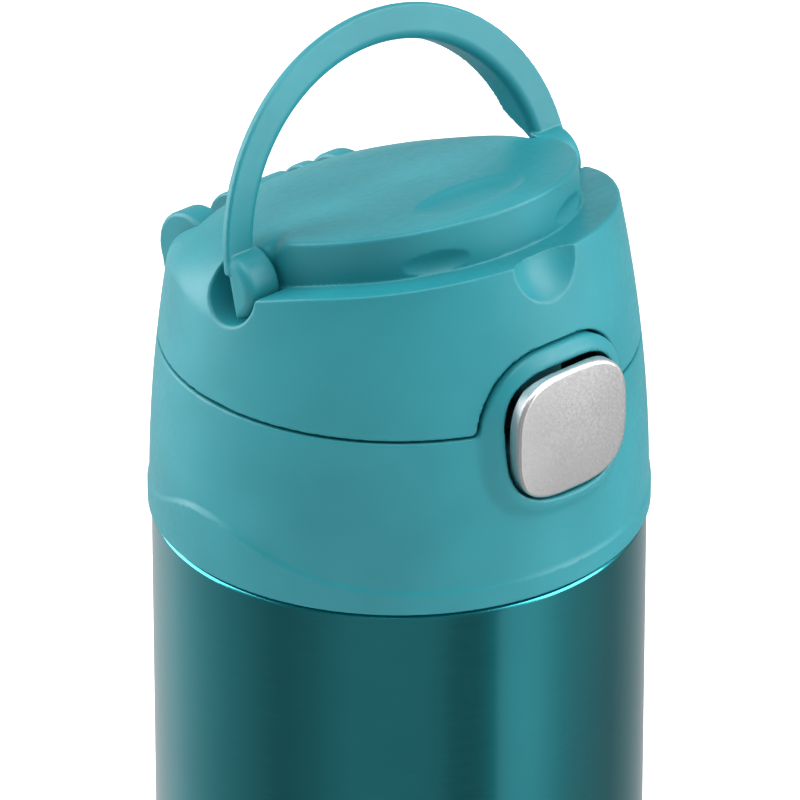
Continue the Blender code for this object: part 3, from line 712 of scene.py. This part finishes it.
def mouth_profile():
    outside = [(4.4, 147.0), (5.3, 147.0), (5.6, 148.0), (5.6, 159.6), (8.8, 159.6), (9.0, 159.8)]
    outside += [(9.0, 160.6), (8.7, 161.1), (8.0, 161.5), (6.4, 161.9), (5.5, 162.6)]
    outside += [(5.0, 163.7), (4.6, 165.2)]
    outside += [(4.42, 168.0), (4.4, 171.5), (4.52, 173.0), (4.8, 174.0), (4.9, 174.8), (4.85, 175.6)]
    outside += [(4.6, 176.3), (4.1, 176.8), (3.5, 177.0), (2.7, 177.0), (2.25, 176.8), (2.0, 176.4)]
    return outside + [(2.0, 156.8), (4.4, 156.0)]


def build_lid(finishes):
    moulding("collar_skin", collar_field, (-36.5, -38.0, 136.4), (36.5, 36.5, 179.6), 0.42,
             "lid", "teal_plastic", finishes["teal"], "lid_collar")
    moulding("cover_skin", cover_field, (-36.0, -36.0, 162.4), (36.0, 36.0, 194.0), 0.42,
             "cover", "teal_plastic", finishes["teal"], "cover_shell")
    moulding("cover_lining", liner_field, (-31.0, -31.0, 160.6), (31.0, 13.2, 180.9), 0.42,
             "cover", "inner_teal_plastic", finishes["inner_teal"], "cover_liner")
    moulding("handle_loop", handle_field, (-32.6, -7.0, 174.5), (32.6, 13.0, 211.6), 0.34,
             "handle", "teal_plastic", finishes["teal"], "carry_handle")
    moulding("button_face", button_field, (-11.4, -37.2, 151.6), (11.4, -34.0, 172.4), 0.2,
             "button", "satin_silver", finishes["silver"], "button_cap")
    turned("mouth_tube", [spin_mesh(mouth_profile(), (0, SPOUT_Y), 96)],
           "lid", "silicone", finishes["silicone"], "mouthpiece")


def build_body(finishes):
    shells = [spin_mesh(outer_skin(), steps=288), ridge_mesh(144.0, 28.9, 30.5)]
    turned("body_skin", shells, "bottle", "lacquered_steel", finishes["lacquer"], "outer_shell")


def refinish(nodes, finishes):
    """The CAD solids that stay get a finish with its own detail."""
    kept = {
        "inner_shell": "steel", "inner_bottom": "steel", "base_cap": "steel", "heat_foil": "foil",
        "getter_pill": "getter", "vacuum_seal": "seal", "lid_gasket": "silicone",
        "vent_valve": "silicone",
        "lid_core": "inner_teal", "straw": "straw", "hinge_pin": "wire", "hinge_spring": "wire",
        "button_spring": "wire", "button_carrier": "carrier",
    }
    for name, finish in kept.items():
        mesh = nodes[name].data
        mesh.materials.clear()
        mesh.materials.append(finishes[finish])


# ---------------------------------------------------------------- studio


def add_camera():
    a, e = VIEW_AZIMUTH, VIEW_ELEVATION
    back = Vector((math.sin(a) * math.cos(e), -math.cos(a) * math.cos(e), math.sin(e)))
    right = Vector((math.cos(a), math.sin(a), 0))
    up = back.cross(right)
    turn = Matrix((right, up, back)).transposed().to_4x4()
    data = bpy.data.cameras.new("camera")
    data.lens, data.sensor_width, data.shift_x = LENS, 36.0, 0.001
    data.clip_start, data.clip_end = 0.01, 100.0
    camera = bpy.data.objects.new("camera", data)
    camera.matrix_world = Matrix.Translation(Vector((0, 0, VIEW_HEIGHT)) + back * VIEW_DISTANCE) @ turn
    bpy.context.scene.collection.objects.link(camera)
    bpy.context.scene.camera = camera


def add_softbox(name, azimuth, elevation, distance, size, power):
    """A soft panel aimed at the lid, its azimuth counted from the camera's side."""
    a = VIEW_AZIMUTH + math.radians(azimuth)
    e = math.radians(elevation)
    back = Vector((math.sin(a) * math.cos(e), -math.cos(a) * math.cos(e), math.sin(e)))
    data = bpy.data.lights.new(name, "AREA")
    data.shape, data.size, data.size_y, data.energy = "RECTANGLE", size[0], size[1], power
    lamp = bpy.data.objects.new(name, data)
    lamp.location = Vector((0, 0, 0.15)) + back * distance
    lamp.rotation_euler = back.to_track_quat("Z", "Y").to_euler()
    bpy.context.scene.collection.objects.link(lamp)


def add_floor():
    mesh = bpy.data.meshes.new("floor")
    mesh.from_pydata([(-6, -6, 0), (6, -6, 0), (6, 6, 0), (-6, 6, 0)], [], [(0, 1, 2, 3)])
    floor = bpy.data.objects.new("floor", mesh)
    made = Nodes("pale_floor", Roughness=0.9, Specular_IOR_Level=0.1)
    cloud = made.spread(made.noise(4, 2), 0, 1)
    made.set("Base Color", made.mix(cloud, (0.86, 0.86, 0.86), (0.89, 0.89, 0.89)))
    made.shader.inputs["Emission Color"].default_value = (1, 1, 1, 1)
    made.shader.inputs["Emission Strength"].default_value = 0.45
    mesh.materials.append(made.material)
    floor.visible_glossy = False
    bpy.context.scene.collection.objects.link(floor)


# (azimuth from the camera's side in degrees, brightness) of what reflections see
PANELS = (
    (-180, 0.32), (-150, 0.36), (-128, 0.40), (-95, 0.24), (-56, 0.10), (-40, 0.13), (-22, 0.19),
    (16, 0.19), (26, 0.105), (44, 0.095), (47, 0.42), (64, 0.42), (80, 0.24), (115, 0.13),
    (150, 0.24), (180, 0.32),
)


def add_world():
    """White all round, with darker and lighter upright panels for reflections only."""
    world = bpy.data.worlds.new("studio")
    bpy.context.scene.world = world
    world.use_nodes = True
    tree = world.node_tree
    nodes, links = tree.nodes, tree.links
    nodes.clear()
    where = nodes.new("ShaderNodeTexCoord")
    turn = nodes.new("ShaderNodeVectorRotate")
    turn.rotation_type = "Z_AXIS"
    turn.inputs["Angle"].default_value = -VIEW_AZIMUTH
    links.new(where.outputs["Generated"], turn.inputs["Vector"])
    split = nodes.new("ShaderNodeSeparateXYZ")
    links.new(turn.outputs["Vector"], split.inputs["Vector"])
    flip = nodes.new("ShaderNodeMath")
    flip.operation, flip.inputs[1].default_value = "MULTIPLY", -1.0
    links.new(split.outputs["Y"], flip.inputs[0])
    azimuth = nodes.new("ShaderNodeMath")
    azimuth.operation = "ARCTAN2"
    links.new(split.outputs["X"], azimuth.inputs[0])
    links.new(flip.outputs[0], azimuth.inputs[1])
    scaled = nodes.new("ShaderNodeMapRange")
    spans = (("From Min", -math.pi), ("From Max", math.pi), ("To Min", 0.0), ("To Max", 1.0))
    for socket, value in spans:
        scaled.inputs[socket].default_value = value
    links.new(azimuth.outputs[0], scaled.inputs["Value"])
    ramp = nodes.new("ShaderNodeValToRGB")
    while len(ramp.color_ramp.elements) < len(PANELS):
        ramp.color_ramp.elements.new(0.5)
    for element, (degrees, level) in zip(ramp.color_ramp.elements, PANELS):
        element.position = (degrees + 180) / 360
        element.color = (level, level, level, 1)
    links.new(scaled.outputs["Result"], ramp.inputs["Fac"])
    path = nodes.new("ShaderNodeLightPath")
    soft = nodes.new("ShaderNodeBackground")
    soft.inputs["Color"].default_value = (0.94, 0.97, 1.0, 1)
    soft.inputs["Strength"].default_value = 0.21
    panels = nodes.new("ShaderNodeBackground")
    panels.inputs["Strength"].default_value = 1.9
    links.new(ramp.outputs["Color"], panels.inputs["Color"])
    plain = nodes.new("ShaderNodeBackground")
    plain.inputs["Color"].default_value = (1, 1, 1, 1)
    first, second = nodes.new("ShaderNodeMixShader"), nodes.new("ShaderNodeMixShader")
    links.new(path.outputs["Is Glossy Ray"], first.inputs["Fac"])
    links.new(soft.outputs[0], first.inputs[1])
    links.new(panels.outputs[0], first.inputs[2])
    links.new(path.outputs["Is Camera Ray"], second.inputs["Fac"])
    links.new(first.outputs[0], second.inputs[1])
    links.new(plain.outputs[0], second.inputs[2])
    out = nodes.new("ShaderNodeOutputWorld")
    links.new(second.outputs[0], out.inputs["Surface"])


def corners(bounds):
    return [[float(c) for c in corner] for corner in bounds]


for obj in list(bpy.data.objects):
    bpy.data.objects.remove(obj, do_unlink=True)
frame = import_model()
bpy.context.scene.view_settings.view_transform = "Standard"
add_camera()
add_floor()
add_world()
add_softbox("left_panel", -105, 22, 1.1, (0.9, 1.3), 19)
add_softbox("right_panel", 82, 22, 1.2, (0.8, 1.2), 17)
add_softbox("top_panel", 25, 78, 1.2, (1.0, 1.0), 13)

finishes = {
    "teal": satin_plastic("teal_plastic", (0.011, 0.205, 0.242), 0.42, specular=0.38),
    "inner_teal": satin_plastic("inner_teal_plastic", (0.036, 0.23, 0.27), 0.5),
    "carrier": satin_plastic("carrier_plastic", (0.03, 0.034, 0.038), 0.5),
    "lacquer": lacquered_steel(),
    "silver": satin_silver(),
    "silicone": silicone(),
    "straw": straw_plastic(),
    "steel": brushed("brushed_steel", (0.62, 0.62, 0.61), 0.28),
    "wire": brushed("spring_steel", (0.55, 0.55, 0.56), 0.26, (40, 1, 1)),
    "foil": mottled("copper_foil", (0.62, 0.34, 0.22), (0.78, 0.48, 0.32), 0.24, 1.0, 160, 0.0001),
    "getter": mottled("getter_alloy", (0.24, 0.24, 0.26), (0.38, 0.38, 0.40), 0.6, 0.8, 2400),
    "seal": mottled("solder_glass", (0.10, 0.12, 0.10), (0.20, 0.22, 0.19), 0.2, 0.0),
}
build_body(finishes)
build_lid(finishes)
refinish(frame["nodes"], finishes)
